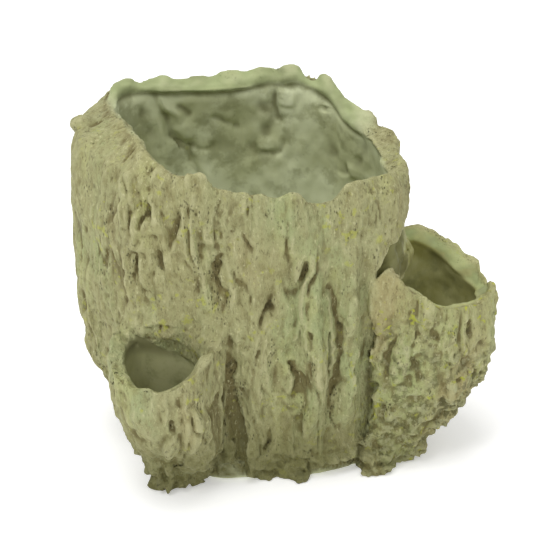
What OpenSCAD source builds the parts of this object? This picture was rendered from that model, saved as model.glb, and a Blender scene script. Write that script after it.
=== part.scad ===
// Hollow rock-look ornament for ponds and aquariums. A tall open well, shaped like a weathered
// tree stump, stands between two smaller side pockets. Every piece is a thick-walled resin
// casting: two half shells and a bottom plate make the well, and two cups are bonded to it.
// The front faces -Y, +Z is up, and the origin is at the centre of the underside, on the ground.

/* [Overall] */
// Height of the ornament at the highest point of the well's rim
overall_h = 160; // [120:5:240]

/* [Walls] */
// Wall thickness of the two half shells of the well
wall = 8.5; // [7:0.5:10]
// Wall thickness of the two side pockets
pocket_wall = 7; // [6:0.5:8]
// Thickness of the side of a pocket that is bonded to the well
bonded_wall = 3; // [2:0.5:4]
// How far every rim slopes down from its outer edge to its inner edge
lip_drop = 5; // [3:0.5:6]

/* [Bottom plate] */
// Thickness of the bottom plate, and depth of the rebate that holds it
plate_t = 8; // [6:1:10]
// Width of the shoulder that the bottom plate is bonded against
shoulder_w = 3; // [2:0.5:4]
// Gap around the bottom plate in its rebate
plate_gap = 0.15; // [0.1:0.05:0.3]
// Diameter of the drain hole, which also takes an air line
drain_d = 8; // [5:0.5:10]

/* [Bonds] */
// Glue gap between a side pocket and the well
glue_gap = 0.15; // [0.1:0.05:0.3]
// Direction of the seam between the half shells on the right side, in degrees
seam_right = 11.25; // [0:3.75:15]
// Direction of the seam between the half shells on the left side, in degrees
seam_left = 172.5; // [165:3.75:180]

/* [Hidden] */
// The tables below are for the nominal height, and k carries them to the height asked for.
nominal_h = 160;
k = overall_h / nominal_h;

// Columns round the well, and rows up its wall.
columns = 96;
rows = 18;
// Columns round a pocket, and rows up its wall.
pocket_columns = 48;
pocket_rows = 13;
// Halvings of the search for the place where a pocket meets the well.
halvings = 12;

// Outline of the well at a share of the rim's height: radii at equal steps, counter-clockwise from +X.
well_sections = [
    [0.00, [50, 50, 46, 42, 46, 54, 60, 58, 54, 45, 50, 54]],
    [0.25, [54, 54, 50, 48, 54, 68, 82, 67, 53, 47, 51, 55]],
    [0.50, [57, 58, 54, 54, 62, 79, 88, 73, 56, 50, 52, 57]],
    [0.75, [60, 59, 57, 57, 67, 84, 87, 76, 61, 52, 52, 59]],
    [0.94, [59, 57, 55, 57, 67, 86, 84, 72, 62, 53, 51, 60]],
];
// The rim's outer edge, 15 degrees apart: its radii and its heights.
rim_radii = [
    57, 56, 55, 53, 56, 55, 56, 57, 63, 73, 83, 74,
    64, 60, 60, 62, 60, 55, 53, 51, 50, 52, 55, 60,
];
rim_heights = [
    140, 141, 144, 148, 156, 160, 159, 157, 156, 156, 157, 157,
    157, 157, 156, 155, 153, 148, 146, 141, 139, 143, 143, 138,
];
// Width of the sloping rim, 30 degrees apart.
lip_widths = [9, 9, 8, 8, 8, 7, 4, 3, 4, 5, 6, 8];

// Ribs down the outside of the well: direction, lean over the full height, bottom and top as
// shares of the height, half width in degrees, and height of the rib (negative for a furrow).
ribs = [
    [ 22, -4, 0.00, 1.00,  9,  2.5],
    [ 45,  3, 0.10, 0.95,  8, -2.5],
    [ 62,  4, 0.00, 0.85, 10,  3.0],
    [ 84, -3, 0.15, 1.00,  8, -2.0],
    [104,  2, 0.00, 0.90, 10,  3.0],
    [124,  4, 0.20, 1.00,  7, -2.5],
    [141, -2, 0.05, 0.95,  8,  2.5],
    [160,  3, 0.00, 0.80,  7, -2.0],
    [176, -4, 0.20, 0.95,  7,  2.0],
    [196,  4, 0.25, 0.90,  6, -2.0],
    [212,  5, 0.45, 1.00,  6,  1.5],
    [241,  3, 0.30, 0.98,  5,  1.5],
    [252, -4, 0.05, 0.45,  5, -2.5],
    [262,  4, 0.00, 0.70,  7,  2.5],
    [276,  3, 0.45, 0.95,  6,  1.5],
    [283, -3, 0.05, 0.80,  5, -2.0],
    [291,  3, 0.15, 0.90,  6,  3.0],
    [300,  2, 0.25, 0.75,  4, -3.0],
    [309,  0, 0.20, 0.80,  6,  3.5],
    [320, -2, 0.30, 0.65,  5, -2.5],
    [331,  0, 0.50, 1.00,  7,  2.0],
];

// Dents in the outside behind the two pockets, with short ends. The columns are those of the ribs.
dents = [
    [227, 0, 0.10, 0.505, 17, -4.5],
    [350, 0, 0.15, 0.640, 20, -4.0],
];

// A pocket is [sections, rim heights]. A section is [share of the rim's height, centre, radii],
// with the radii 30 degrees apart, counter-clockwise from +X about the section's own centre.
right_pocket_shape = [
    [
        [0.00, [56, -12], [11, 12, 15, 17, 20, 30, 30, 30, 30, 26, 18, 13]],
        [0.25, [62, -11], [25, 24, 23, 24, 26, 36, 36, 36, 31, 28, 26, 25]],
        [0.50, [67, -10], [32, 31, 29, 29, 30, 40, 40, 40, 32, 30, 31, 32]],
        [0.75, [70,  -9], [32, 32, 31, 31, 33, 44, 44, 44, 33, 31, 31, 32]],
        [1.00, [71,  -8], [27, 28, 29, 31, 34, 44, 44, 44, 35, 32, 30, 28]],
    ],
    [81, 80, 84, 91, 96, 99, 101, 101, 98, 89, 85, 83],
];
left_pocket_shape = [
    [
        [0.00, [-42, -42], [24, 28, 28, 28, 15, 11, 11, 11, 11, 11, 11, 14]],
        [0.30, [-45, -48], [28, 30, 30, 30, 20, 17, 16, 15, 14, 14, 16, 21]],
        [0.50, [-46, -51], [27, 30, 30, 30, 23, 21, 20, 19, 18, 18, 19, 23]],
        [0.75, [-46, -53], [25, 31, 31, 31, 26, 24, 22, 21, 20, 20, 21, 23]],
        [1.00, [-46, -54], [23, 32, 32, 32, 26, 24, 22, 20, 19, 19, 20, 21]],
    ],
    [73, 77, 80, 80, 78, 74, 70, 66, 64, 65, 68, 71],
];
// Height of the floor inside each pocket.
right_floor = 14;
left_floor = 16;

// ---- Rings of values and lofts between them ----

function wrap(i, n) = (i % n + n) % n;

// Smooth curve through b and c, with a and d on either side, at share u of the way.
function through(a, b, c, d, u) =
    b + 0.5 * u * (c - a + u * (2 * a - 5 * b + 4 * c - d + u * (3 * (b - c) + d - a)));

// Value of a closed ring of evenly spaced values in direction a.
function ring(values, a) =
    let (n = len(values), s = a / 360 * n, i = floor(s))
    through(
        values[wrap(i - 1, n)], values[wrap(i, n)],
        values[wrap(i + 1, n)], values[wrap(i + 2, n)], s - i
    );

function ease(x) = let (u = min(max(x, 0), 1)) u * u * (3 - 2 * u);
function turn_between(a, b) = wrap(a - b + 180, 360) - 180;
function direction(p) = atan2(p[1], p[0]);
function polar(r, a) = [r * cos(a), r * sin(a)];

// ---- The well ----

function rim_z(a) = k * ring(rim_heights, a);
function rim_r(a) = k * ring(rim_radii, a);

// Height of one rib at direction a and height share t: a rounded bump that fades at both ends.
function rib_at(rib, a, t, fade) =
    let (
        off = abs(turn_between(a, rib[0] + rib[1] * (t - 0.5))) / rib[4],
        ends = ease((t - rib[2]) / fade + 0.5) * ease((rib[3] - t) / fade + 0.5)
    )
    off < 1 ? rib[5] * ends * (1 + cos(180 * off)) / 2 : 0;

function relief(a, t) = k * sum([
    for (rib = ribs) rib_at(rib, a, t, 0.12),
    for (dent = dents) rib_at(dent, a, t, 0.05),
]);
function sum(v, i = 0) = i < len(v) ? v[i] + sum(v, i + 1) : 0;

// Radius of the well's smooth outside, and of its ribbed one.
function body_r(a, t) =
    lookup(t, [
        for (s = well_sections) [s[0], k * ring(s[1], a)],
        [1, rim_r(a)],
    ]);
function outer_r(a, t) = body_r(a, t) + relief(a, t);

// The cavity follows the outside one wall thickness in, and closes to the lip near the rim.
cavity_turn = 0.82;
function inner_r(a, t) =
    let (
        below = body_r(a, min(t, cavity_turn)) - wall + 0.4 * relief(a, t),
        mouth = rim_r(a) + relief(a, 1) - ring(lip_widths, a)
    )
    below + (mouth - below) * ease((t - cavity_turn) / (1 - cavity_turn));

function at(r, a, z) = [r * cos(a), r * sin(a), z];

// Outside of the wall at one column, from the ground to the rim.
function outside(a) = [
    for (j = [0 : rows]) let (t = j / rows) at(outer_r(a, t), a, t * rim_z(a))
];

// Inside of the wall at one column, with the rebate for the bottom plate at its foot.
rebate_share = plate_t / (nominal_h * k);
function rebate_r(a) = body_r(a, rebate_share) - wall + shoulder_w;
function inside(a) =
    let (top = rim_z(a) - lip_drop, steps = rows - 2)
    [
        at(rebate_r(a), a, 0),
        at(rebate_r(a), a, plate_t),
        for (j = [0 : steps])
            let (z = plate_t + (top - plate_t) * j / steps, t = z / rim_z(a))
            at(j == 0 ? rebate_r(a) - shoulder_w : inner_r(a, j == steps ? 1 : t), a, z),
    ];

// Closed solid between two lists of columns that run up the outside and up the inside.
// The two end columns are closed by flat seam faces.
module wall_solid(outsides, insides) {
    n = len(outsides);
    m = len(outsides[0]);
    function o(i, j) = i * m + j;
    function u(i, j) = n * m + i * m + j;
    skin = [
        for (i = [0 : n - 2], j = [0 : m - 2]) each [
            [o(i, j), o(i, j + 1), o(i + 1, j + 1)], [o(i, j), o(i + 1, j + 1), o(i + 1, j)],
            [u(i, j), u(i + 1, j + 1), u(i, j + 1)], [u(i, j), u(i + 1, j), u(i + 1, j + 1)],
        ]
    ];
    foot_and_rim = [
        for (i = [0 : n - 2]) each [
            [o(i, 0), o(i + 1, 0), u(i + 1, 0)], [o(i, 0), u(i + 1, 0), u(i, 0)],
            [o(i, m - 1), u(i + 1, m - 1), o(i + 1, m - 1)],
            [o(i, m - 1), u(i, m - 1), u(i + 1, m - 1)],
        ]
    ];
    seams = [
        for (j = [0 : m - 2]) each [
            [o(0, j), u(0, j + 1), o(0, j + 1)], [o(0, j), u(0, j), u(0, j + 1)],
            [o(n - 1, j), o(n - 1, j + 1), u(n - 1, j + 1)],
            [o(n - 1, j), u(n - 1, j + 1), u(n - 1, j)],
        ]
    ];
    polyhedron(
        points = [for (c = outsides) each c, for (c = insides) each c],
        faces = concat(skin, foot_and_rim, seams)
    );
}

// The part of the well's wall from one direction round to another.
module shell(from, to) {
    step = 360 / columns;
    directions = [from : step : to + step / 2];
    wall_solid([for (a = directions) outside(a)], [for (a = directions) inside(a)]);
}

module rear_shell() {
    color("#a3a077") shell(seam_right, seam_left);
}

module front_shell() {
    color("#aca87c") shell(seam_left, seam_right + 360);
}

// Plate that closes the bottom of the well, let into the rebate of the half shells.
drain_at = [0, 18];
module floor_plate() {
    color("#8d8b68")
    difference() {
        linear_extrude(plate_t)
            polygon([
                for (i = [0 : columns - 1])
                    let (a = seam_right + i * 360 / columns)
                    polar(rebate_r(a) - plate_gap, a)
            ]);
        translate([drain_at[0] * k, drain_at[1] * k, -1])
            cylinder(d = drain_d, h = plate_t + 2, $fn = 48);
    }
}

// ---- The side pockets ----

// Distance from p out to the well's surface, negative inside the well.
function outside_well(p, z) = norm(p) - outer_r(direction(p), z / rim_z(direction(p))) - glue_gap;

// The longest reach from centre c in direction b, up to r, that stays outside the well.
function reach(c, b, r, z) =
    outside_well(c + polar(r, b), z) >= 0 ? r : search(c, b, 0, r, z, halvings);
function search(c, b, low, high, z, left) =
    let (middle = (low + high) / 2)
    left == 0 ? low
    : outside_well(c + polar(middle, b), z) >= 0 ? search(c, b, middle, high, z, left - 1)
    : search(c, b, low, middle, z, left - 1);

function centre(shape, s) = k * [
    lookup(s, [for (q = shape[0]) [q[0], q[1][0]]]),
    lookup(s, [for (q = shape[0]) [q[0], q[1][1]]]),
];
function pocket_rim(shape, b) = k * ring(shape[1], b);
function full_r(shape, b, s) = k * lookup(s, [for (q = shape[0]) [q[0], ring(q[2], b)]]);
function pocket_r(shape, b, s) =
    reach(centre(shape, s), b, full_r(shape, b, s), s * pocket_rim(shape, b));

// Point of a pocket's surface, inset by a distance, with its height lowered by drop.
function pocket_point(shape, b, s, inset, drop) =
    let (c = centre(shape, s), z = s * pocket_rim(shape, b))
    concat(c + polar(max(pocket_r(shape, b, s) - inset, 1), b), [z - drop]);

// The side towards the well is thinner, because the well backs it.
function pocket_inset(shape, b, s) =
    let (cut = full_r(shape, b, s) - pocket_r(shape, b, s))
    pocket_wall + (bonded_wall - pocket_wall) * ease(cut / 6);

// One column of a pocket: up the outside, over the lip and down to the edge of its floor.
function pocket_column(shape, b, floor_z) =
    let (low = floor_z * k / pocket_rim(shape, b), m = pocket_rows)
    concat(
        [for (j = [0 : m]) pocket_point(shape, b, j / m, 0, 0)],
        [
            for (j = [m : -1 : 0])
                let (s = low + (1 - low) * j / m, drop = lip_drop * ease((s - 0.8) / 0.2))
                pocket_point(shape, b, s, pocket_inset(shape, b, s), drop)
        ]
    );

module pocket(shape, floor_z) {
    n = pocket_columns;
    columns = [for (i = [0 : n - 1]) pocket_column(shape, i * 360 / n, floor_z)];
    m = len(columns[0]);
    low = floor_z * k / pocket_rim(shape, 0);
    ground_hub = n * m;
    floor_hub = ground_hub + 1;
    function p(i, j) = wrap(i, n) * m + j;
    skin = [
        for (i = [0 : n - 1], j = [0 : m - 2]) each [
            [p(i, j), p(i, j + 1), p(i + 1, j + 1)], [p(i, j), p(i + 1, j + 1), p(i + 1, j)],
        ]
    ];
    ends = [
        for (i = [0 : n - 1]) each [
            [ground_hub, p(i, 0), p(i + 1, 0)], [floor_hub, p(i + 1, m - 1), p(i, m - 1)],
        ]
    ];
    polyhedron(
        points = concat(
            [for (c = columns) each c],
            [concat(centre(shape, 0), [0]), concat(centre(shape, low), [floor_z * k])]
        ),
        faces = concat(skin, ends)
    );
}

module right_pocket() {
    color("#a9a578") pocket(right_pocket_shape, right_floor);
}

module left_pocket() {
    color("#b0ac80") pocket(left_pocket_shape, left_floor);
}

rear_shell();
front_shell();
floor_plate();
right_pocket();
left_pocket();
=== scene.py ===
"""Looks of the rock-look resin ornament: weathered castings built over the CAD solids.

The CAD shells and pockets are turned into distance fields and joined, the weathering is carved
into that one field, and the result is meshed once into four closed pieces that meet without a gap.
The fifth piece, the floor plate, stays as it is in the CAD.
Lengths inside this script are millimetres in the CAD frame, until the meshes are made in metres.
"""

import math

import bpy
import numpy as np
import openvdb
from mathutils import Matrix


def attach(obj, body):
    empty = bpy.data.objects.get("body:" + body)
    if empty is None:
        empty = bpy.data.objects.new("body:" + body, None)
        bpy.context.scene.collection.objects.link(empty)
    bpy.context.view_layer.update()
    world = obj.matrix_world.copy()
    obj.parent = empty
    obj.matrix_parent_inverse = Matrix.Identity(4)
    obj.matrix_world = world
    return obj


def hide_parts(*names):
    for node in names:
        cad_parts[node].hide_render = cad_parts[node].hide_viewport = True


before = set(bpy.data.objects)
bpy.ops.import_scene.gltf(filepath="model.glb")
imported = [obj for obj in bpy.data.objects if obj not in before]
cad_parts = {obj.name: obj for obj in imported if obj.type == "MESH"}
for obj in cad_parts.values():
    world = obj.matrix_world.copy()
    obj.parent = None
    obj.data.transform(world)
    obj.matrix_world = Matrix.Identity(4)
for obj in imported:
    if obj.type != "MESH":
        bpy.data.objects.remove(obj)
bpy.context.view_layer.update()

# ---------------------------------------------------------------- sizes

VOXEL = 0.85
BAND = 8.0  # reach of the distance fields on either side of a surface
WEATHERED = 6.2  # reach of the weathering on either side of a surface
LOW = np.array([-101.0, -86.0, -4.0])
HIGH = np.array([113.0, 73.0, 170.0])
SHAPE = tuple(int(n) for n in np.ceil((HIGH - LOW) / VOXEL))
PIECES = {"front_shell": 1, "rear_shell": 2, "right_pocket": 3, "left_pocket": 4}
SEAM_RIGHT, SEAM_LEFT = 11.25, 172.5  # directions of the seam between the half shells

FILLET, FILLET_OVER_MOUTH = 3.0, 6.0  # between the trunk and a pocket, and what is added over the left mouth
TOE, TOE_RADIUS, TOE_FILLET = (47, -36, 0), 8.5, 4.0  # fills the corner beside the right pocket's foot
LET_IN = 0.7  # the weathering lies this much under the CAD surface, so the outline keeps its size
DEEPEST, HIGHEST = 4.8, 4.2  # limits of the carving
WALL_SPARED = 2.2  # of the trunk's wall, by the bite of the right mouth

# Middle line of each hollow: its lowest point, its highest point and how far out its wall can be.
WELL = ((0, 0, 0), (0, 0, 160), 112)
RIGHT = ((60, -11, 10), (72, -8, 90), 60)
LEFT = ((-43, -44, 10), (-46, -54, 72), 50)
# How far across the wall's top the smooth lining reaches: at the wide lip and elsewhere.
LINED = {"well": (0.88, -0.25), "right": (0.55, 0.1), "left": (-0.15, -0.15)}
# Directions between which each hollow has its wide lip, in degrees.
LIP_SPAN = {"well": (22, 166), "right": (-20, 165), "left": (0, 0)}
# Where the trunk's skin ends above a pocket's mouth: (across, height).
LEFT_EDGE = [(-58, 74.5), (-53, 73), (-48, 69.5), (-42, 66.5), (-33, 61.5), (-29, 60)]
RIGHT_EDGE = [(44, 100), (49, 108), (51, 111), (55, 112.5), (58, 116), (62, 118)]

# Cylinders on which the streaks of the trunk, the right and the left pocket lie: (middle, radius).
ROUND_PARTS = [((0, 0), 58), ((66, -10), 34), ((-45, -50), 22)]
PLAIN_CORNER, PLAIN_REACH = (-37, -42, 65), (10, 8, 7)  # the right corner of the left mouth
SWELL, SWELL_REACH, SWELL_HEIGHT = (-50, -50, 82), (20, 9), 1.8  # of the trunk over the left mouth
BOSS, BOSS_SIZE, BOSS_HEIGHT = (7, 147), 5.4, 1.3  # squarish, high on the back of the inside

# ---------------------------------------------------------------- features listed one by one

# Parts of the front that are worn smooth: (across, up, half width, half height).
CALM = [
    (22, 120, 20, 18), (2, 84, 12, 16), (0, 112, 12, 14), (42, 104, 12, 18),
    (-33, 92, 11, 14), (78, 82, 12, 8), (-34, 42, 7, 14), (-57, 46, 8, 9),
]
# Scallops of the rim: (across, height), a row for the back (1) and one for the front (-1).
SCALLOPS = {
    1: [(-65, 2.0), (-50, 2.4), (-34, 2.4), (-18, 2.8), (-4, 2.4), (9, 3.4), (25, 2.6), (42, 2.2)],
    -1: [(-52, 1.5), (-27, 2.6), (9, 2.2), (34, 1.8), (52, 1.2)],
}
# Grooves on the front: (points across and up, half width, depth, raised edge right or left of it).
GROOVES = [
    ([(7, 126), (8, 118), (8, 111)], 0.7, 1.8, 0.5),
    ([(14, 114), (14, 108), (11, 102)], 0.8, 2.8, -1.6),
    ([(20, 119), (19, 106), (16, 100), (15, 91), (16, 83)], 0.9, 3.6, -1.5),
    ([(1, 105), (1, 98), (0, 91), (-3, 86), (-5, 81)], 1.3, 3.4, 0.8),
    ([(-20, 121), (-20, 113), (-22, 105), (-18, 98), (-20, 86)], 1.2, 3.2, 1.2),
    ([(25, 98), (27, 86), (29, 76), (29, 65), (28, 55), (25, 46)], 0.8, 4.0, -2.2),
    ([(16, 80), (18, 69)], 0.8, 2.4, -1.0),
    ([(55, 70), (50, 59), (49, 48)], 0.8, 3.8, -1.8),
    ([(45, 70), (42, 62), (41, 54)], 0.7, 2.0, 1.0),
    ([(38, 63), (37, 54), (38, 44), (35, 36)], 0.7, 2.6, -1.2),
    ([(9, 64), (11, 60), (12, 54), (10, 43)], 0.6, 3.4, -1.2),
    ([(13, 36), (13, 24)], 0.9, 3.4, 1.0),
    ([(-17, 84), (-17, 71), (-16, 57), (-16, 46)], 0.9, 2.6, 1.0),
    ([(-16, 46), (-15, 38), (-13, 30), (-12, 19), (-11, 10)], 0.8, 4.0, 1.8),
    ([(-22, 19), (-21, 7)], 1.1, 3.6, 0.5),
    ([(-36, 62), (-37, 55)], 0.8, 2.8, 0.8),
    ([(-44, 58), (-44, 52)], 0.6, 1.8, 0.8),
    ([(-40, 50), (-41, 42)], 0.9, 3.0, 1.0),
    ([(-34, 53), (-33, 45), (-30, 39)], 0.8, 2.4, 1.0),
    ([(-26, 52), (-24, 42), (-24, 34), (-26, 25)], 1.1, 3.2, -1.4),
    ([(-20, 53), (-20, 45)], 0.8, 2.6, 0.6),
    ([(1, 30), (0, 20), (-4, 14)], 0.9, 2.6, 1.0),
    ([(-6, 66), (-4, 71)], 0.8, 2.4, 0.6),
    ([(50, 35), (49, 25)], 0.9, 3.4, 0.8),
    ([(72, 84), (70, 74), (73, 66)], 0.7, 1.8, 0.8),
    ([(63, 76), (61, 64), (62, 55)], 0.7, 2.0, -0.8),
    ([(86, 77), (87, 66)], 1.2, 2.4, 0.4),
    ([(78, 60), (80, 50)], 0.8, 2.0, 0.6),
    ([(-50, 139), (-50, 132), (-53, 127)], 1.0, 3.2, 0.6),
    ([(-36, 139), (-37, 131), (-40, 123), (-43, 115)], 1.0, 3.2, 1.2),
    ([(-61, 137), (-66, 128), (-71, 120)], 1.1, 3.0, 0.8),
    ([(-29, 108), (-30, 97)], 0.8, 2.6, 0.6),
    ([(-45, 118), (-44, 108)], 0.8, 2.4, 0.6),
    ([(-55, 114), (-57, 98)], 1.1, 2.6, 0.8),
    ([(-28, 132), (-27, 120)], 0.8, 2.2, 0.6),
    ([(-9, 128), (-8, 116)], 0.7, 1.8, 0.4),
    ([(-63, 110), (-63, 100), (-62, 80)], 1.0, 2.4, 0.6),
    ([(46, 134), (47, 122)], 0.7, 1.8, 0.5),
    ([(39, 128), (38, 116)], 0.7, 1.4, 0.4),
]
# Broad dents and lumps on the front: (across, up, half width, half height, depth or height).
DENTS = [
    (38, 21, 12, 8, -1.6),
    (40, 9, 18, 4, 2.2),
    (12, 107, 2.6, 5, 1.8),
    (-21, 102, 6, 16, -1.8),
    (34, 84, 2.6, 12, 1.8),
    (-33, 41, 6.5, 15, 2.8),
    (-43, 34, 5.5, 9, 2.2),
    (-57, 44, 7, 10, 1.4),
    (22, 62, 6, 16, 1.6),
    (56, 58, 6, 15, 1.6),
    (-30, 122, 3, 16, 1.6),
    (-46, 124, 4, 12, 1.4),
    (-38, 16, 5, 5, -2.4),
    (-56, 104, 9, 14, -1.2),
    (66, 80, 5, 10, 1.6),
]
# Knobs and hollows anywhere on the outside: (x, y, z, reach, height or depth).
KNOBS = [
    (-84, 12, 150, 6, 3.4), (-77, 6, 153, 4.5, -3.0), (-88, -6, 100, 9, 1.5), (-86, -14, 62, 8, 1.6),
    (-86, -8, 74, 10, -3.6), (-76, -16, 38, 8, -1.6), (96, -15, 44, 8, -2.4), (84, -18, 22, 8, -0.8),
    (70, -18, 9, 8, -1.6), (58, -34, 4, 8, -1.6), (90, -15, 33, 6, -2.4), (78, -16, 15, 6, -2.4),
    (99, -14, 62, 9, -2.6), (101, -10, 78, 8, 1.8), (-12, -46, 0, 6, -2.4), (22, -45, 0, 7, -2.2),
    (44, -42, 0, 5, 1.6), (-48, -52, 2, 7, 2.4), (-68, -50, 32, 8, -1.2), (-60, -44, 20, 7, -2.2),
    (88, 16, 88, 5, 2.0), (73, 22, 98, 8, 4.2), (81, 20, 94, 7, 3.8), (97, 2, 84, 5, 1.6),
    (64, 22, 104, 5, 1.6), (50, -37, 90, 13, 0.9), (-44, -64, 22, 6, -2.0), (-56, -68, 38, 6, -1.8),
]
# Folds on the back of the well's inside: (points across and up, half width, height).
FOLDS = [
    ([(-53, 150), (-50, 138), (-42, 121), (-34, 109), (-30, 98)], 1.4, -4.6),
    ([(-47, 146), (-43, 134), (-36, 124)], 2.4, 2.6),
    ([(-58, 146), (-55, 128), (-53, 118)], 1.6, -2.0),
    ([(-42, 121), (-26, 121)], 1.4, -2.0),
    ([(-43, 143), (-35, 138)], 1.4, -1.6),
    ([(-27, 137), (-22, 133), (-15, 131)], 1.3, -2.0),
    ([(-17, 131), (-14, 131)], 1.8, -2.4),
    ([(-12, 122), (-6, 122)], 2.2, -2.8),
    ([(-12, 117), (4, 120), (9, 130)], 1.3, -1.8),
    ([(-3, 152), (-3, 122)], 3.8, -2.2),
    ([(2, 150), (2, 138), (12, 137)], 1.2, -2.4),
    ([(24, 145), (24, 142)], 1.3, -2.2),
    ([(29, 132), (29, 112)], 1.6, -1.6),
    ([(34, 126), (34, 112)], 1.4, -2.2),
    ([(38, 124), (38, 110)], 2.0, 1.4),
    ([(42, 137), (42, 118)], 1.6, -2.0),
]


# ---------------------------------------------------------------- helpers

def ease(x):
    """A smooth step: 0 up to nought, 1 from one."""
    x = np.clip(x, 0, 1)
    return x * x * (3 - 2 * x)


def above(value, edge, over):
    """0 up to the edge, rising smoothly to 1 at a distance over it."""
    return ease((value - edge) / over)


def under(value, edge, over):
    """0 from the edge up, rising smoothly to 1 at a distance under it."""
    return ease((edge - value) / over)


def bell(value, middle, width):
    """1 at the middle, falling away on both sides."""
    return np.exp(-((value - middle) / width) ** 2)


class Noise:
    """Smooth repeatable noise from -1 to 1. Its cells are turned in plan by an angle of their own."""

    SIZE = 32

    def __init__(self, seed):
        random = np.random.default_rng(seed)
        self.table = random.uniform(-1, 1, (self.SIZE,) * 3).astype(np.float32)
        self.angle = random.uniform(0, math.tau)
        self.shift = random.uniform(0, 20, 3)

    def __call__(self, p, across, along=None):
        """Noise at points p, in cells that are `across` wide and `along` tall."""
        c, s = math.cos(self.angle), math.sin(self.angle)
        cells = (
            (p[0] * c - p[1] * s) / across + self.shift[0],
            (p[0] * s + p[1] * c) / across + self.shift[1],
            p[2] / (along or across) + self.shift[2],
        )
        near, far, share = [], [], []
        for value in cells:
            base = np.floor(value)
            t = (value - base).astype(np.float32)
            share.append(t * t * t * (t * (t * 6 - 15) + 10))
            near.append(base.astype(np.int32) & (self.SIZE - 1))
            far.append((near[-1] + 1) & (self.SIZE - 1))
        total = 0
        for i, wx in ((near[0], 1 - share[0]), (far[0], share[0])):
            for j, wy in ((near[1], 1 - share[1]), (far[1], share[1])):
                for k, wz in ((near[2], 1 - share[2]), (far[2], share[2])):
                    total = total + self.table[i, j, k] * (wx * wy * wz)
        return total


# ---------------------------------------------------------------- distance fields

def triangles_of(node):
    """Points and triangle corners of a CAD solid."""
    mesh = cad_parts[node].data
    mesh.calc_loop_triangles()
    points = np.empty(len(mesh.vertices) * 3, np.float32)
    mesh.vertices.foreach_get("co", points)
    corners = np.empty(len(mesh.loop_triangles) * 3, np.int32)
    mesh.loop_triangles.foreach_get("vertices", corners)
    return points.reshape(-1, 3) * 1000, corners.reshape(-1, 3)


def field_of(points, corners):
    """Signed distance to a closed surface on the scene's grid, negative inside."""
    grid = openvdb.FloatGrid.createLevelSetFromPolygons(
        np.ascontiguousarray((points - LOW - VOXEL / 2) / VOXEL, np.float32),
        triangles=np.ascontiguousarray(corners, np.uint32),
        transform=openvdb.createLinearTransform(1.0),
        halfWidth=BAND / VOXEL,
    )
    out = np.empty(SHAPE, np.float32)
    grid.copyToArray(out)
    return out * VOXEL


def well_surface():
    """The two half shells as one closed surface, without the faces of the seam between them."""
    parts = [triangles_of("front_shell"), triangles_of("rear_shell")]
    points = np.concatenate([parts[0][0], parts[1][0]])
    corners = np.concatenate([parts[0][1], parts[1][1] + len(parts[0][0])])
    keys = [set(map(tuple, np.round(p * 20).astype(int))) for p, _ in parts]
    shared = keys[0] & keys[1]
    on_seam = np.array([tuple(k) in shared for k in np.round(points * 20).astype(int)])
    return points, corners[~on_seam[corners].all(axis=1)]


def blur(field, reach):
    """Mean of the field over a box that reaches some samples to each side."""
    for axis in range(3):
        total = field.copy()
        for step in range(1, reach + 1):
            total += np.roll(field, step, axis) + np.roll(field, -step, axis)
        field = total / (2 * reach + 1)
    return field


def join(a, b, radius):
    """Union of two fields with a fillet between them."""
    share = np.clip(0.5 + (b - a) / (2 * radius), 0, 1)
    return b + (a - b) * share - radius * share * (1 - share)


class Hollow:
    """Where a cup's wall lies round its middle line: its inner and outer radius and its rim."""

    STEPS = 120  # directions
    RISE = 2.0  # between two levels

    def __init__(self, field, low, high, reach):
        self.low, self.high = np.array(low, float), np.array(high, float)
        self.levels = np.arange(self.RISE, HIGH[2] - 2, self.RISE)
        angles = np.arange(self.STEPS) * math.tau / self.STEPS
        radii = np.arange(2.0, reach, 1.0)
        a, z, r = np.meshgrid(angles, self.levels, radii, indexing="ij")
        cx, cy = self.centre(z)
        where = []
        for value, start, size in zip((cx + r * np.cos(a), cy + r * np.sin(a), z), LOW, SHAPE):
            where.append(np.clip(((value - start) / VOXEL - 0.5).round().astype(int), 0, size - 1))
        walls = field[tuple(where)] < 0
        present = walls.any(axis=2)
        self.inner = np.where(present, radii[walls.argmax(axis=2)], 0)
        self.outer = np.where(present, radii[len(radii) - 1 - walls[:, :, ::-1].argmax(axis=2)], 0)
        top = len(self.levels) - 1 - present[:, ::-1].argmax(axis=1)
        self.rim = self.levels[top]
        # Above its rim and below its floor a wall is taken to go straight on.
        for i, k in enumerate(top):
            for table in (self.inner, self.outer):
                table[i, k + 1:] = table[i, k]
                first = present[i].argmax()
                table[i, :first] = table[i, first]
        self.rim = self.round_off(self.rim[:, None], 3)[:, 0]
        self.inner, self.outer = self.round_off(self.inner, 1), self.round_off(self.outer, 1)

    @staticmethod
    def round_off(table, times):
        """The table with the steps between its directions evened out."""
        for _ in range(times):
            table = (np.roll(table, 1, 0) + 2 * table + np.roll(table, -1, 0)) / 4
        return table

    def centre(self, z):
        """Where the middle line is at a height."""
        share = np.clip((z - self.low[2]) / (self.high[2] - self.low[2]), 0, 1)
        return tuple(self.low[i] + (self.high[i] - self.low[i]) * share for i in (0, 1))

    def look_up(self, p):
        """Direction, radius, inner and outer wall radius and rim height at points p."""
        cx, cy = self.centre(p[2])
        x, y = p[0] - cx, p[1] - cy
        angle = np.arctan2(y, x) % math.tau
        spot = angle / math.tau * self.STEPS
        i = spot.astype(int) % self.STEPS
        j = (i + 1) % self.STEPS
        t = spot - np.floor(spot)
        k = np.clip(((p[2] - self.levels[0]) / self.RISE).round().astype(int), 0, len(self.levels) - 1)
        values = [table[i, k] * (1 - t) + table[j, k] * t for table in (self.inner, self.outer)]
        return angle, np.hypot(x, y), *values, self.rim[i] * (1 - t) + self.rim[j] * t


shell_field = field_of(*well_surface())
right_field = field_of(*triangles_of("right_pocket"))
left_field = field_of(*triangles_of("left_pocket"))

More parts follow.
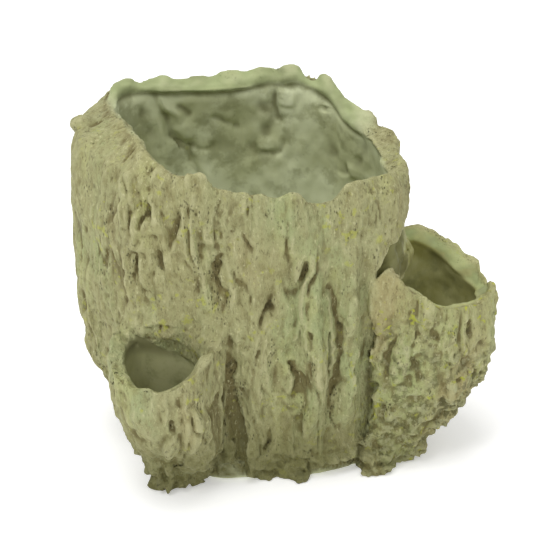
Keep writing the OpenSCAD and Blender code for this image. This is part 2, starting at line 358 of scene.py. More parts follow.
x_axis, y_axis, z_axis = (
    (LOW[i] + (np.arange(SHAPE[i]) + 0.5) * VOXEL).astype(np.float32) for i in range(3)
)
# The same, laid along the three sides of the grid.
grid_x, grid_y, grid_z = x_axis[:, None, None], y_axis[None, :, None], z_axis[None, None, :]

# Which piece each bit of solid belongs to.
angle = np.degrees(np.arctan2(grid_y, grid_x))
behind = (angle > SEAM_RIGHT) & (angle < SEAM_LEFT)
label = np.where(behind, PIECES["rear_shell"], PIECES["front_shell"]) + np.zeros(SHAPE, np.int8)
label[(right_field < shell_field) & (right_field < left_field)] = PIECES["right_pocket"]
label[(left_field < shell_field) & (left_field < right_field)] = PIECES["left_pocket"]

# The fillet is wide above the left pocket, where the trunk runs down to the edge of its mouth.
over_mouth = bell(grid_z, 77, 8) * above(grid_y, -62, 8)
solid = join(shell_field, right_field, FILLET)
solid = join(solid, left_field, FILLET + FILLET_OVER_MOUTH * over_mouth)
# The toe is an egg that is taller than it is wide.
toe = (grid_x - TOE[0]) ** 2 + (grid_y - TOE[1]) ** 2 + (0.8 * (grid_z - TOE[2])) ** 2
solid = join(solid, np.sqrt(toe) - TOE_RADIUS, TOE_FILLET)
solid = blur(solid, 1)

# ---------------------------------------------------------------- points that get weathered

near = np.abs(solid) < WEATHERED
slope = [g[near] for g in np.gradient(solid, VOXEL)]
steep = np.maximum(np.sqrt(sum(g * g for g in slope)), 0.3)  # never so flat that p runs away
spots = np.nonzero(near)
depth = solid[near]
at_voxel = [axis[i] for axis, i in zip((x_axis, y_axis, z_axis), spots)]
# The weathering is read at the nearest point of the surface, so it goes straight in or out.
p = [v - depth * g / steep ** 2 for v, g in zip(at_voxel, slope)]
px, py, pz = p
facing = [g / steep for g in slope]

owner = label[near]
of_trunk = owner < PIECES["right_pocket"]
of_right, of_left = owner == PIECES["right_pocket"], owner == PIECES["left_pocket"]

# ---------------------------------------------------------------- linings, lips and mouths

hollows = {
    "well": (Hollow(shell_field, *WELL), shell_field[near]),
    "right": (Hollow(right_field, *RIGHT), right_field[near]),
    "left": (Hollow(left_field, *LEFT), left_field[near]),
}
# The masks below go from 0 to 1. Their numbers are places and widths in millimetres, or degrees.
inside = np.zeros_like(depth)  # 1 on the smooth lining of a hollow
rim = np.zeros_like(depth)  # 1 along the top of a wall
for name, (hollow, distance) in hollows.items():
    direction, radius, inner, outer, top = hollow.look_up(p)
    degrees = (np.degrees(direction) + 180) % 360 - 180
    start, end = LIP_SPAN[name]
    wide = above(degrees, start, 14) * under(degrees, end, 14)
    # The lining ends part of the way across the wall's top, and halfway through it further down.
    at_lip, elsewhere = LINED[name]
    at_rim = elsewhere + (at_lip - elsewhere) * wide
    below_rim = under(pz, top, 9)
    split = inner + (outer - inner) * (at_rim + (0.5 - at_rim) * below_rim)
    close = under(distance, 5, 3)
    outward = facing[0] * np.cos(direction) + facing[1] * np.sin(direction)
    on_top = above(outward, -0.85, 0.4) * ease((12 - top + pz) / 4) * (1 - wide)
    lined = ease((split - radius) / 3 + 0.5) * close * (1 - on_top)
    at_top = ease((pz - top + 7) / 6) * close
    drop = top - pz
    if name == "well":
        # The lip at the back of the well is a soft roll with a painted shadow line under it.
        spare = radius - inner
        inward = lined * wide * ease((-0.2 - outward) / 0.4)
        roll = 3.6 * np.exp(-((drop - 0.8) / 2.8) ** 4) - 1.2 * bell(drop, 6.0, 2.0)
        roll *= inward
        lip_face = inward * under(drop, 4.6, 1.0)
        shadow_under_lip = inward * bell(drop, 5.2, 1.1)
    elif name == "right":
        # The right pocket's lining below its rim, which gets painted shade.
        in_right = lined * above(drop, 2, 2) * under(drop, 16, 9)
        bitten = lined
    elif name == "left":
        at_top *= under(py, -52, 5)  # behind the mouth there is no rim, only the trunk
        # At the back of the mouth the trunk's skin comes down to an edge that falls to the right.
        mouth_edge = np.interp(px, *zip(*LEFT_EDGE))
        over_edge = ease((pz - mouth_edge) / 1.2 + 0.5) * above(py, -58, 4) * above(px, -61, 3)
        left_rim = at_top
        in_left = lined = lined * (1 - over_edge)
    rim = np.maximum(rim, at_top)
    inside = np.maximum(inside, lined)

# The mouth of the right pocket bites into the trunk, up to an edge that climbs towards the back.
bite_edge = np.interp(px, *zip(*RIGHT_EDGE))
bite_edge = np.minimum(bite_edge, 118 - 0.07 * np.maximum(py + 10, 0) ** 2)
bite = under(pz, bite_edge, 1.5) * above(px, 44, 1.5) * above(pz, 88, 3)
beside_mouth = of_trunk | (py > -31) & (px < 66) & (pz > 86)
bite *= beside_mouth * ~of_left * (1 - inside) * under(facing[1], 0.12, 0.42)
# The lining of the left pocket runs up to its edge on the trunk.
under_edge = ease((mouth_edge - pz) / 1.2 + 0.5) * above(pz, 50, 8) * ~of_right
under_edge *= above(px, -59, 3) * under(px, -28, 3) * above(py, -55, 3) * under(py, -30, 4)
in_left = np.maximum(in_left, under_edge)
inside = np.maximum(inside, np.maximum(bite, under_edge))
outside = 1 - inside
# Where the trunk's side shows through the right mouth, its lining has the warmer tone of that pocket.
bitten = np.maximum(bitten, bite) * of_trunk
# The near corner of the right mouth has no light lip and gets painted shade.
corner = of_right * under(px, 65, 3) * above(py, -31, 2) * (py < 5) * (pz > 84) * inside
corner = np.maximum(corner, bite)

# ---------------------------------------------------------------- weathering

def flakes(value):
    """Steps along a slowly changing value: long slopes that end in sharp edges, from -0.5 to 0.5."""
    step = value - np.floor(value)
    return np.minimum(step / 0.84, (1 - step) / 0.16) - 0.5


def creases(value, width):
    """A narrow valley, raised on one side of it, along the lines where the value is nought."""
    return 0.5 * np.exp(-((value / width - 2.6) / 1.6) ** 2) - np.exp(-(value / width) ** 2)


def wrapped(middle, radius):
    """Points p moved level on to a cylinder, so that streaks also run up sloping shoulders."""
    x, y = px - middle[0], py - middle[1]
    far = np.maximum(np.hypot(x, y), 1)
    return middle[0] + radius * x / far, middle[1] + radius * y / far


round_parts = [wrapped(*part) for part in ROUND_PARTS]
across = [np.where(of_right, b, np.where(of_left, c, a)) for a, b, c in zip(*round_parts)]
warp = Noise(1), Noise(2)
# Where the streaks are read: on the cylinders, and pushed about a little.
q = [
    across[0] + 3.5 * warp[0](p, 14, 22),
    across[1] + 3.5 * warp[1](p, 14, 22),
    pz,
]
patches = Noise(3)(p, 26, 32)
craggy = 0.35 + 0.65 * ease(0.5 + 1.5 * Noise(13)(p, 18, 30))
calm = np.zeros_like(depth)
for x, z, half_width, half_height in CALM:
    spot = np.exp(-((px - x) / half_width) ** 2 - ((pz - z) / half_height) ** 2)
    calm = np.maximum(calm, spot * (py < 0))
craggy *= 1 - 0.75 * calm
# The foot and the lower part of the right pocket are a crust of lumps and holes.
crust = ease((30 - pz) / 24 + 0.35 * patches)
crust = np.maximum(crust, ease(of_right * ((70 - pz) / 60 + 0.25) + 0.3 * patches))
# The texture is stretched upwards, so it fades where the surface lies flat.
upright = 1 - 0.85 * ease((np.abs(facing[2]) - 0.5) / 0.3)

# Each layer is a height in millimetres times Noise(seed)(points, width of its cells, their height).
swell = 1.2 * Noise(4)(p, 22, 40) + 1.7 * Noise(17)(q, 8, 46)
steps = 1.3 * craggy * (1 - 0.6 * crust) * flakes(2.2 * Noise(5)(q, 8, 34) + 0.5 * Noise(6)(q, 3.4, 12))
streaks = 0.45 * craggy * flakes(1.6 * Noise(7)(q, 3.2, 17) + 0.4 * Noise(20)(q, 1.6, 6))
streaks += 0.4 * (1 - 0.6 * calm) * Noise(8)(q, 1.6, 3.4)
present = ease(0.1 + 2.2 * Noise(51)(p, 13, 34))
cracks = 1.7 * present * creases(Noise(50)(q, 7, 50), 0.11)
present = ease(0.25 + 2.0 * Noise(53)(p, 9, 22)) * (0.4 + 0.6 * craggy)
cracks += 0.9 * present * creases(Noise(52)(q, 3.2, 22), 0.2)
grains = crust * (2.3 * Noise(9)(p, 5.5, 4.8) + 1.9 * Noise(10)(p, 2.6, 2.2))
grains += 1.9 * crust * under(pz, 48, 30) * creases(Noise(54)(p, 7.5, 6.5), 0.17)
pitted = ease(-0.35 + 2.4 * Noise(11)(p, 14, 22) + 0.45 * crust)
pores = 0.65 * Noise(12)(q, 1.5, 5.0) + 0.35 * Noise(21)(p, 1.0, 1.7)
pits = -0.9 * pitted * (1 + 0.5 * crust) * (1 - 0.8 * calm) * ease((pores - 0.32 + 0.06 * crust) / 0.14)
rough = swell + grains + upright * (steps + streaks + (1 - 0.7 * crust) * cracks)
# High on the left of the front the surface is eaten away most.
eaten = np.exp(-((px + 50) / 26) ** 2 - ((pz - 116) / 34) ** 2) * under(py, 12, 6) * (1 - calm)
gnawed = -bell(Noise(55)(q, 4.2, 20), 0, 0.13) - 0.7 * bell(Noise(56)(q, 3.0, 9), 0, 0.16)
rough += eaten * upright * (1.5 * gnawed + 0.5)
rough = (rough - LET_IN) * (1 - np.maximum(0.7 * left_rim, 0.4 * rim))
far = sum(((v - middle) / reach) ** 2 for v, middle, reach in zip(p, PLAIN_CORNER, PLAIN_REACH))
rough *= 1 - 0.9 * np.exp(-far ** 2)
# Valleys deeper than 2.1 go on at half the slope.
rough = np.where(rough < -2.1, -2.1 + 0.5 * (rough + 2.1), rough) + pits * (1 - np.exp(-far ** 2))

folds = 1.4 * Noise(14)(p, 11, 40) + 0.8 * (np.abs(Noise(15)(p, 9, 16)) - 0.3) + 0.4 * Noise(16)(p, 3.5, 5)
folds *= above(pz, 9, 8) * (1 - 0.8 * in_left)

# The bite is no deeper than the trunk's wall allows, and fades at the pocket.
into_trunk = of_trunk * np.minimum(2.0 + 1.6 * under(px, 52, 6), np.maximum(spare - WALL_SPARED, 0))
into_trunk *= above(right_field[near], 2.5, 3) * above(px, 46.5, 2)
push = outside * rough + inside * folds + roll - into_trunk * bite  # outwards is positive

# How much painted shade a place holds, from 0 to 1, with some dirt in the hollows of the skin.
dark = outside * np.maximum(0.5 * ease((-pits - 0.3) / 0.6), 0.35 * upright * ease((-cracks - 0.8) / 1.2))
dark = np.maximum(dark, 0.6 * outside * eaten * ease((-gnawed - 0.3) / 0.9))
# The left pocket's lining gets painted shade, growing towards its mouth.
dark = np.maximum(dark, in_left * (0.2 * above(pz, 40, 12) + 0.6 * above(pz, 60, 9)))
# Painted shade in the bite of the right mouth, in a line under the back lip, in the right pocket below its
# rim and at the near corner of its mouth.
for share, shaded in ((0.95, bite), (0.5, shadow_under_lip), (0.45, in_right), (0.6, corner)):
    dark = np.maximum(dark, share * shaded)

# The rim goes up and down.
waves = 0.8 * Noise(18)(p, 5) + 0.4 * Noise(19)(p, 2.4) - 0.7
for way, row in SCALLOPS.items():
    for x, height in row:
        waves += height * bell(px, x, 4.8) * (py * way > 8)
waves -= 2.7 * ease(py / 12) * under(px, 45, 30)
waves += 3.0 * above(px, 60, 8) * above(py, 4, 6)
push += rim * waves * ease(1.4 * facing[2] - 0.1)

# ---------------------------------------------------------------- grooves, dents and folds

def along(share):
    """Fades a line out towards both its ends."""
    return ease(share / 0.3 + 0.2) * ease((1 - share) / 0.3 + 0.2)


def near_line(points, x, z):
    """Distance to a line of points, side of it (right is positive) and share of its length."""
    best = np.full(x.shape, 1e9, np.float32)
    side = np.zeros_like(best)
    share = np.zeros_like(best)
    count = len(points) - 1
    for n, ((x0, z0), (x1, z1)) in enumerate(zip(points, points[1:])):
        dx, dz = x1 - x0, z1 - z0
        t = np.clip(((x - x0) * dx + (z - z0) * dz) / (dx * dx + dz * dz), 0, 1)
        ex, ez = x - x0 - t * dx, z - z0 - t * dz
        d = np.hypot(ex, ez)
        closer = d < best
        best[closer] = d[closer]
        side[closer] = np.sign(ex)[closer]
        share[closer] = ((n + t) / count)[closer]
    return best, side, share


front = outside * ease((-facing[1] + 0.25) / 0.4) * (py < 5)
for points, width, deep, edge in GROOVES:
    xs, zs = zip(*points)
    margin = width * 4 + 2
    beside = (px > min(xs) - margin) & (px < max(xs) + margin)
    level = (pz > min(zs) - margin) & (pz < max(zs) + margin)
    pick = np.nonzero(beside & level & (front > 0))[0]
    here = [v[pick] for v in p]
    # A little wander keeps the line from looking drawn.
    wander = 1.0 * Noise(40)(here, 3, 6) + 0.7 * Noise(43)(here, 1.4, 2.6)
    distance, side, share = near_line(points, here[0] + wander, here[2])
    fade = along(share)
    deep = deep * (0.8 + 0.6 * Noise(42)(here, 5, 7)) * fade * front[pick]
    half = np.maximum(width * (0.4 + 0.5 * fade), 0.6)
    # The wall is steep on the side of the raised edge and slopes gently on the other.
    from_line = distance * side * np.sign(edge)
    steep_part = np.exp(-distance / half)
    gentle_part = 0.55 * steep_part + 0.45 * np.exp(-distance / (3.2 * half))
    raised = np.exp(-((from_line - 2.6 * half) / (1.6 * half)) ** 2) * (from_line > 0)
    push[pick] += -1.25 * deep * np.where(from_line > 0, steep_part, gentle_part)
    push[pick] += abs(edge) * raised * fade * front[pick]
    # Painted shade along the bottom of the groove.
    dark[pick] = np.maximum(dark[pick], steep_part * np.minimum(deep / 2.8, 0.95))
for x, z, wide, tall, height in DENTS:
    reach = np.clip(1 - ((q[0] - x) / wide) ** 2 - ((q[2] - z) / tall) ** 2, 0, 1)
    push += height * ease(1.4 * reach) * front
    # Deep dents get painted shade.
    if height < -1.7:
        dark = np.maximum(dark, 0.2 * reach * front)
for x, y, z, reach, height in KNOBS:
    far = ((px - x) ** 2 + (py - y) ** 2 + (pz - z) ** 2) / reach ** 2
    push += height * ease(1.2 * (1 - far)) * outside
aside = np.hypot(px - SWELL[0], py - SWELL[1]) / SWELL_REACH[0]
far = aside ** 2 + ((pz - SWELL[2]) / SWELL_REACH[1]) ** 2
push += SWELL_HEIGHT * ease(1.3 * (1 - far)) * outside

back = inside * (py > 0) * (px < 62)
wander, sag = 2.0 * Noise(41)(p, 5, 8), 2.0 * Noise(44)(p, 5, 6)
uneven = np.clip(0.8 + 0.9 * Noise(45)(p, 5, 6), 0.2, 1.3)
for points, width, height in FOLDS:
    distance, side, share = near_line(points, px + wander, pz + sag)
    line = np.exp(-(distance / (1.7 * width)) ** 2) * along(share) * uneven * back
    push += 0.75 * height * line
    # Sunken folds get painted shade.
    if height < 0:
        dark = np.maximum(dark, 0.5 * line)
from_boss = (np.abs(px - BOSS[0]) ** 4 + np.abs(pz - BOSS[1]) ** 4) ** (1 / 4)
push += BOSS_HEIGHT * back * ease((BOSS_SIZE - from_boss) / 2.4)

# Deep places get shallower bit by bit, so that none ends in a flat floor.
push = np.where(push < 0, push / (1 - push / 10), push)
push = np.clip(push, -DEEPEST, HIGHEST)
carved = solid.copy()
carved[near] -= push
carved = np.maximum(carved, -grid_z)

# ---------------------------------------------------------------- meshing

def full(values):
    """Values of the weathered points on the whole grid."""
    out = np.zeros(SHAPE, np.float32)
    out[near] = values
    return out


def mesh_cells(field, label):
    """Vertices in the cells that the surfaces cross, and for each piece its four-sided faces.

    Cells between two pieces count as well, so neighbours share their vertices and each is closed.
    """
    ids = np.where(field < 0, label, 0).astype(np.int8)
    corner = [(i, j, k) for i in (0, 1) for j in (0, 1) for k in (0, 1)]
    inner = tuple(n - 1 for n in ids.shape)

    def view(array, offset):
        return array[tuple(slice(o, o + n) for o, n in zip(offset, inner))]

    mixed = np.zeros(inner, bool)
    for offset in corner[1:]:
        mixed |= view(ids, offset) != view(ids, (0, 0, 0))
    cells = np.nonzero(mixed)
    number = np.full(inner, -1, np.int32)
    number[mixed] = np.arange(len(cells[0]))
    values = {o: field[tuple(c + s for c, s in zip(cells, o))] for o in corner}
    owners = {o: ids[tuple(c + s for c, s in zip(cells, o))] for o in corner}
    skin, skin_count = np.zeros((len(cells[0]), 3)), np.zeros(len(cells[0]))
    seam, seam_count = np.zeros_like(skin), np.zeros_like(skin_count)
    for o in corner:
        for axis in range(3):
            if o[axis]:
                continue
            end = tuple(1 if i == axis else v for i, v in enumerate(o))
            a, b = values[o], values[end]
            crosses = (a < 0) != (b < 0)
            t = np.where(crosses, a / np.where(a == b, 1, a - b), 0.5)
            place = np.tile(np.array(o, float), (len(t), 1))
            place[:, axis] = t
            skin += place * crosses[:, None]
            skin_count += crosses
            changes = owners[o] != owners[end]
            seam += place * changes[:, None]
            seam_count += changes
    on_skin = skin_count > 0
    place = np.where(
        on_skin[:, None],
        skin / np.maximum(skin_count, 1)[:, None],
        seam / np.maximum(seam_count, 1)[:, None],
    )
    vertices = place + np.stack(cells, axis=1)

    faces = {piece: [] for piece in PIECES.values()}
    for axis in range(3):
        u, v = (axis + 1) % 3, (axis + 2) % 3
        core = [slice(1, -1)] * 3
        core[axis] = slice(None, -1)
        ahead = list(core)
        ahead[axis] = slice(1, None)
        a, b = ids[tuple(core)], ids[tuple(ahead)]
        spots = [s + (0 if i == axis else 1) for i, s in enumerate(np.nonzero(a != b))]
        owner_a = ids[tuple(spots)]
        step = [0, 0, 0]
        step[axis] = 1
        owner_b = ids[tuple(s + d for s, d in zip(spots, step))]
        ring = []
        for du, dv in ((1, 1), (0, 1), (0, 0), (1, 0)):
            cell = list(spots)
            cell[u] = cell[u] - du
            cell[v] = cell[v] - dv
            ring.append(number[tuple(cell)])
        quad = np.stack(ring, axis=1)
        for piece in faces:
            faces[piece].append(quad[owner_a == piece])
            faces[piece].append(quad[owner_b == piece][:, ::-1])
    return vertices, {piece: np.concatenate(parts) for piece, parts in faces.items()}


def read(field, spots):
    """Field values at points given in grid steps, between the samples."""
    base = np.clip(np.floor(spots).astype(int), 0, np.array(SHAPE) - 2)
    t = (spots - base).astype(np.float32)
    total = 0
    for i in (0, 1):
        for j in (0, 1):
            for k in (0, 1):
                weight = np.abs(1 - i - t[:, 0]) * np.abs(1 - j - t[:, 1]) * np.abs(1 - k - t[:, 2])
                total = total + weight * field[base[:, 0] + i, base[:, 1] + j, base[:, 2] + k]
    return total


vertices, faces = mesh_cells(carved, label)
either_side = [(vertices + 0.6 * step, vertices - 0.6 * step) for step in np.eye(3)]
normals = np.stack([read(carved, ahead) - read(carved, behind) for ahead, behind in either_side], axis=1)
normals /= np.maximum(np.linalg.norm(normals, axis=1), 1e-6)[:, None]
relief = full(push)
detail = relief - blur(blur(relief, 2), 2)
lip = read(full(rim * inside * (1 - corner)), vertices) * above(normals[:, 2], 0.2, 0.35)
foot = ease(1 - (LOW[2] + vertices[:, 2] * VOXEL) / 58)
foot = foot * (1 - 0.45 * ease((LOW[0] + vertices[:, 0] * VOXEL - 22) / 14))  # weaker on the right
# What the material reads at each vertex, from 0 to 1, and the fine relief in millimetres.
shades = {
    "hollow": read(full(np.clip(dark, 0, 1)), vertices),
    "smooth": read(full(inside), vertices),
    "warm": read(full(bitten), vertices),
    "lip": np.maximum(lip, read(full(lip_face), vertices)),
    "crust": read(full(crust * outside), vertices),
    "foot": foot,
    "detail": read(detail, vertices),
}


def make_piece(name, number):
    """One casting as a Blender object, with what the material reads on it."""
    quads = faces[number]
    used, flat = np.unique(quads, return_inverse=True)
    mesh = bpy.data.meshes.new(name)
    mesh.vertices.add(len(used))
    places = (LOW + (vertices[used] + 0.5) * VOXEL) / 1000
    places[:, 2] = np.maximum(places[:, 2], 0)
    mesh.vertices.foreach_set("co", places.astype(np.float32).ravel())
    mesh.loops.add(quads.size)
    mesh.loops.foreach_set("vertex_index", flat.ravel().astype(np.int32))
    mesh.polygons.add(len(quads))
    mesh.polygons.foreach_set("loop_start", np.arange(0, quads.size, 4, dtype=np.int32))
    mesh.update(calc_edges=True)
    mesh.validate()
    mesh.shade_smooth()
    mesh.normals_split_custom_set_from_vertices(normals[used].tolist())
    for key, values in shades.items():
        layer = mesh.attributes.new(key, "FLOAT", "POINT")
        layer.data.foreach_set("value", values[used].astype(np.float32))
    obj = bpy.data.objects.new(name, mesh)
    bpy.context.scene.collection.objects.link(obj)
    return obj


pieces = {node: make_piece("weathered_" + node, number) for node, number in PIECES.items()}

# ---------------------------------------------------------------- materials

# Tones that all the castings share, as screen colours.
PALE_GREEN, WARM_TAN, LICHEN = "B6B77C", "AAA074", "B5B84A"
STRAND_DARK, STRAND_LIGHT = "7C7549", "C6C497"
CREST_HIGHLIGHT, VALLEY_SHADE = "C2BF92", "675B34"
FLECK_LIGHT, FLECK_DARK, PORE_SHADE = "D0CD9E", "5C5532", "4A4526"
WORN, GRIME, CHIP, FOOT = "8A8E68", "4A4828", "BDBE93", "6B693D"
SKIN_SHADOW, LINING_SHADOW = "38331A", "57542C"
LINING_STAIN, LINING_VALLEY_SHADE, LINING_WARM, LIP_STAIN = "7A7C52", "64633A", "FBF8D7", "8C9269"


def colour(code):
    """Scene colour of a six-digit screen colour."""
    parts = [int(code[i:i + 2], 16) / 255 for i in (0, 2, 4)]
    return (*[c / 12.92 if c <= 0.04045 else ((c + 0.055) / 1.055) ** 2.4 for c in parts], 1.0)


class Graph:
    """Short names for building a node material."""

    def __init__(self, name):
        self.material = bpy.data.materials.new(name)
        self.material.use_nodes = True
        self.tree = self.material.node_tree
        self.tree.nodes.clear()

    def node(self, kind, values=None, **settings):
        node = self.tree.nodes.new(kind)
        for key, value in settings.items():
            setattr(node, key, value)
        for key, value in (values or {}).items():
            if hasattr(value, "is_output"):
                self.tree.links.new(value, node.inputs[key])
            else:
                node.inputs[key].default_value = value
        return node

    def attribute(self, name):
        return self.node("ShaderNodeAttribute", attribute_name=name).outputs["Fac"]

    def noise(self, where, scale, detail=3.0, rough=0.55):
        values = {"Vector": where, "Scale": scale, "Detail": detail, "Roughness": rough}
        return self.node("ShaderNodeTexNoise", values).outputs["Fac"]

    def spread(self, value, low, high, to_low=0.0, to_high=1.0):
        """The value from low to high, spread smoothly over another range."""
        values = {"Value": value, "From Min": low, "From Max": high, "To Min": to_low, "To Max": to_high}
        node = self.node("ShaderNodeMapRange", values, interpolation_type="SMOOTHSTEP")
        return node.outputs["Result"]

    def patches(self, where, scale, low, high, strength=1.0, detail=3.0, rough=0.55):
        """Patches where the noise goes from low to high, as strong as asked."""
        return self.spread(self.noise(where, scale, detail, rough), low, high, 0, strength)

    def maths(self, operation, a, b):
        return self.node("ShaderNodeMath", {0: a, 1: b}, operation=operation).outputs[0]

    def times(self, a, b):
        return self.maths("MULTIPLY", a, b)

    def mix(self, share, a, b, blend="MIX"):
        node = self.node("ShaderNodeMix", data_type="RGBA", blend_type=blend)
        share_socket, a_socket, b_socket, colour_out = 0, 6, 7, 2
        for socket, value in ((share_socket, share), (a_socket, a), (b_socket, b)):
            if hasattr(value, "is_output"):
                self.tree.links.new(value, node.inputs[socket])
            else:
                node.inputs[socket].default_value = value
        return node.outputs[colour_out]

    def coats(self, surface, *coats):
        """Coats of colour one over another, each where its mask is high."""
        for mask, code in coats:
            surface = self.mix(mask, surface, colour(code))
        return surface


def stone(name, base, tan, green, inner, inner_dark, lip, lichen):
    """Painted resin rock: a rough skin outside, a smooth lining and a pale lip in the hollows."""
    g = Graph(name)
    where = g.node("ShaderNodeTexCoord").outputs["Object"]
    tall = g.node("ShaderNodeMapping", {"Vector": where, "Scale": (1.0, 1.0, 0.45)}).outputs["Vector"]
    hollow, smooth, lip_mask = g.attribute("hollow"), g.attribute("smooth"), g.attribute("lip")
    crust, foot, detail = g.attribute("crust"), g.attribute("foot"), g.attribute("detail")
    warm = g.attribute("warm")

    pore_cells = g.node("ShaderNodeTexVoronoi", {"Vector": tall, "Scale": 900.0, "Randomness": 1.0})
    pore_dots = g.spread(pore_cells.outputs["Distance"], 0.32, 0.14)
    pores = g.times(pore_dots, g.patches(tall, 110, 0.54, 0.66))
    fine = g.noise(tall, 480, 4, 0.7)
    strands = g.noise(tall, 260, 5, 0.72)
    flecks = g.noise(tall, 820, 3, 0.6)
    lichen_dots = g.patches(where, 300, 0.58, 0.68, 1, 2)
    skin = g.coats(
        colour(base),
        (g.patches(tall, 34, 0.40, 0.62), tan),
        (g.patches(tall, 24, 0.50, 0.66, 0.75, 5, 0.62), green),
        (g.patches(tall, 52, 0.54, 0.68, 0.6, 4, 0.6), PALE_GREEN),
        (g.patches(tall, 44, 0.40, 0.28, 0.4), WARM_TAN),
        (g.spread(strands, 0.52, 0.34, 0, 0.5), STRAND_DARK),
        (g.spread(strands, 0.52, 0.70, 0, 0.45), STRAND_LIGHT),
        # Crests are painted lighter and valleys darker: painted highlight and painted shade, standing also
        # for the dry brushing and wash of a painted casting.
        (g.spread(detail, 0.10, 0.9, 0, 0.6), CREST_HIGHLIGHT),
        (g.spread(detail, -0.05, -0.9, 0, 0.8), VALLEY_SHADE),
        (g.spread(flecks, 0.42, 0.28, 0, 0.6), FLECK_LIGHT),
        (g.spread(flecks, 0.57, 0.72, 0, 0.6), FLECK_DARK),
        (g.times(lichen_dots, g.patches(where, 40, 0.48, 0.60, lichen, 2)), LICHEN),
        (g.times(g.patches(where, 110, 0.48, 0.64, 0.5, 4, 0.6), crust), WORN),
        (g.times(g.patches(where, 190, 0.50, 0.60, 0.75, 5, 0.65), crust), GRIME),
        (g.times(g.patches(where, 230, 0.46, 0.38, 0.7, 4, 0.6), crust), CHIP),
        (g.times(foot, 0.8), FOOT),
        # Painted shade in the tiny pores.
        (g.times(pores, 0.6), PORE_SHADE),
        (g.spread(hollow, 0.35, 1.0, 0, 0.9), SKIN_SHADOW),
    )
    lining = g.coats(
        colour(inner),
        (g.patches(where, 26, 0.40, 0.62, 1, 4, 0.6), inner_dark),
        (g.patches(where, 70, 0.50, 0.66, 0.5, 4, 0.6), LINING_STAIN),
        # Painted shade in the lining's valleys.
        (g.spread(detail, -0.1, -1.2, 0, 0.6), LINING_VALLEY_SHADE),
        (g.spread(hollow, 0.1, 0.9, 0, 0.75), LINING_SHADOW),
    )
    lining = g.mix(warm, lining, colour(LINING_WARM), "MULTIPLY")
    edge = g.coats(colour(lip), (g.patches(where, 60, 0.40, 0.66), LIP_STAIN))
    surface = g.mix(smooth, skin, g.mix(lip_mask, lining, edge))

    height = g.maths("ADD", g.maths("ADD", strands, g.times(fine, 0.7)), g.times(flecks, -0.8))
    height = g.maths("SUBTRACT", height, g.times(pores, 1.2))
    height = g.times(height, g.spread(smooth, 0.0, 1.0, 1.0, 0.10))
    bump = g.node("ShaderNodeBump", {"Strength": 1.0, "Distance": 0.0015, "Height": height})
    shine = g.node(
        "ShaderNodeBsdfPrincipled",
        {
            "Base Color": surface,
            "Roughness": g.spread(g.noise(where, 200), 0.3, 0.7, 0.72, 0.92),
            "Specular IOR Level": 0.25,
            "Normal": bump.outputs["Normal"],
        },
    )
    g.node("ShaderNodeOutputMaterial", {"Surface": shine.outputs["BSDF"]})
    return g.material


# Of each casting: slot, base, tan, green, lining, dark lining, lip and how much lichen it has.
LOOKS = {
    "front_shell": ("stone_front", "A8A779", "A4A173", "A1AC79", "CDD2AD", "B8BC92", "98A174", 0.5),
    "rear_shell": ("stone_rear", "A6A579", "A29E72", "9FAB79", "CDD2AD", "B8BC92", "99A274", 0.5),
    "right_pocket": ("stone_right", "AFAE7A", "ADA474", "AAB47B", "BDBC86", "A3A05C", "A0AA76", 1.0),
    "left_pocket": ("stone_left", "A9A77A", "A4A073", "A3AD7D", "BDBD90", "B5B586", "AAB086", 0.6),
    "floor_plate": ("stone_plate", "8D8B68", "85815E", "87906C", "9CA27F", "82865F", "878D6C", 0.2),
}
for node, (slot, *tones) in LOOKS.items():
    material = stone(slot + "_look", *tones)
    if node in pieces:
        piece = pieces[node]
        piece.data.materials.append(material)
        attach(piece, "root")
        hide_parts(node)
    else:
        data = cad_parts[node].data
        data.materials.clear()
        data.materials.append(material)

# ---------------------------------------------------------------- floor, light and camera

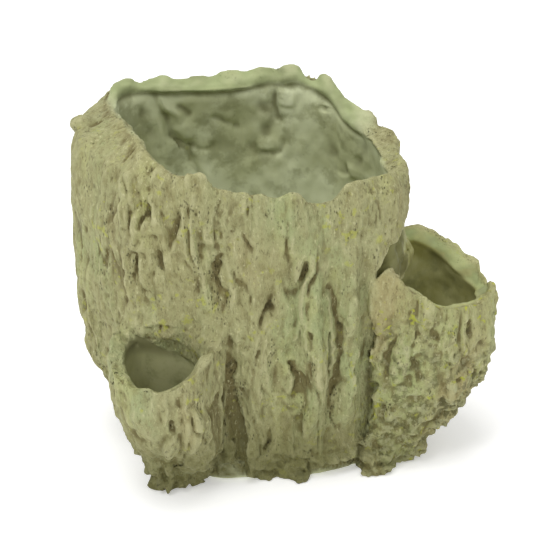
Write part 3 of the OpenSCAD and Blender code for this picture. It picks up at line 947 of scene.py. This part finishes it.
AIM = (0.0, 0.0, 0.08)  # what the lights and the camera look at
FLOOR_SIDE, FLOOR_TONE, FLOOR_SHADE = 12, (0.92, 0.92, 0.92, 1), (0.7, 0.7, 0.7, 1)
CAMERA_LENS, CAMERA_TILT, CAMERA_RANGE = 94.5, math.radians(28), 0.65
CAMERA_SIDEWAYS = 0.002


def floor_material():
    g = Graph("floor_white")
    where = g.node("ShaderNodeTexCoord").outputs["Object"]
    body = g.node(
        "ShaderNodeBsdfPrincipled",
        {
            "Base Color": g.mix(g.patches(where, 3.0, 0.7, 0.3, 0.015, 2), FLOOR_TONE, FLOOR_SHADE),
            "Roughness": 0.9,
            "Specular IOR Level": 0.1,
            "Emission Color": (1, 1, 1, 1),
            "Emission Strength": 0.3,
        },
    )
    g.node("ShaderNodeOutputMaterial", {"Surface": body.outputs["BSDF"]})
    return g.material


bpy.ops.mesh.primitive_plane_add(size=FLOOR_SIDE)
floor = bpy.context.object
floor.name = "studio_floor"
floor.data.materials.append(floor_material())


def area_light(name, place, size, power):
    """A square light that looks at the ornament."""
    light = bpy.data.lights.new(name, "AREA")
    light.size, light.energy = size, power
    obj = bpy.data.objects.new(name, light)
    obj.location = place
    way = np.array(AIM, float) - np.array(place, float)
    yaw = math.atan2(way[1], way[0]) - math.pi / 2
    pitch = math.atan2(math.hypot(way[0], way[1]), -way[2])
    obj.rotation_euler = (pitch, 0, yaw)
    bpy.context.scene.collection.objects.link(obj)


area_light("key", (-0.52, -0.66, 1.10), 0.35, 3.5)
area_light("top", (-0.1, -0.05, 1.4), 0.7, 8.0)

world = bpy.data.worlds.new("studio")
world.use_nodes = True
background = world.node_tree.nodes["Background"]
background.inputs["Color"].default_value = (1, 1, 1, 1)
background.inputs["Strength"].default_value = 0.7
bpy.context.scene.world = world
bpy.context.scene.view_settings.view_transform = "Standard"

camera_data = bpy.data.cameras.new("camera")
camera_data.lens = CAMERA_LENS
camera = bpy.data.objects.new("camera", camera_data)
forward, up = CAMERA_RANGE * math.cos(CAMERA_TILT), CAMERA_RANGE * math.sin(CAMERA_TILT)
camera.location = (CAMERA_SIDEWAYS, -forward, AIM[2] + up)
camera.rotation_euler = (math.pi / 2 - CAMERA_TILT, 0, 0)
bpy.context.scene.collection.objects.link(camera)
bpy.context.scene.camera = camera
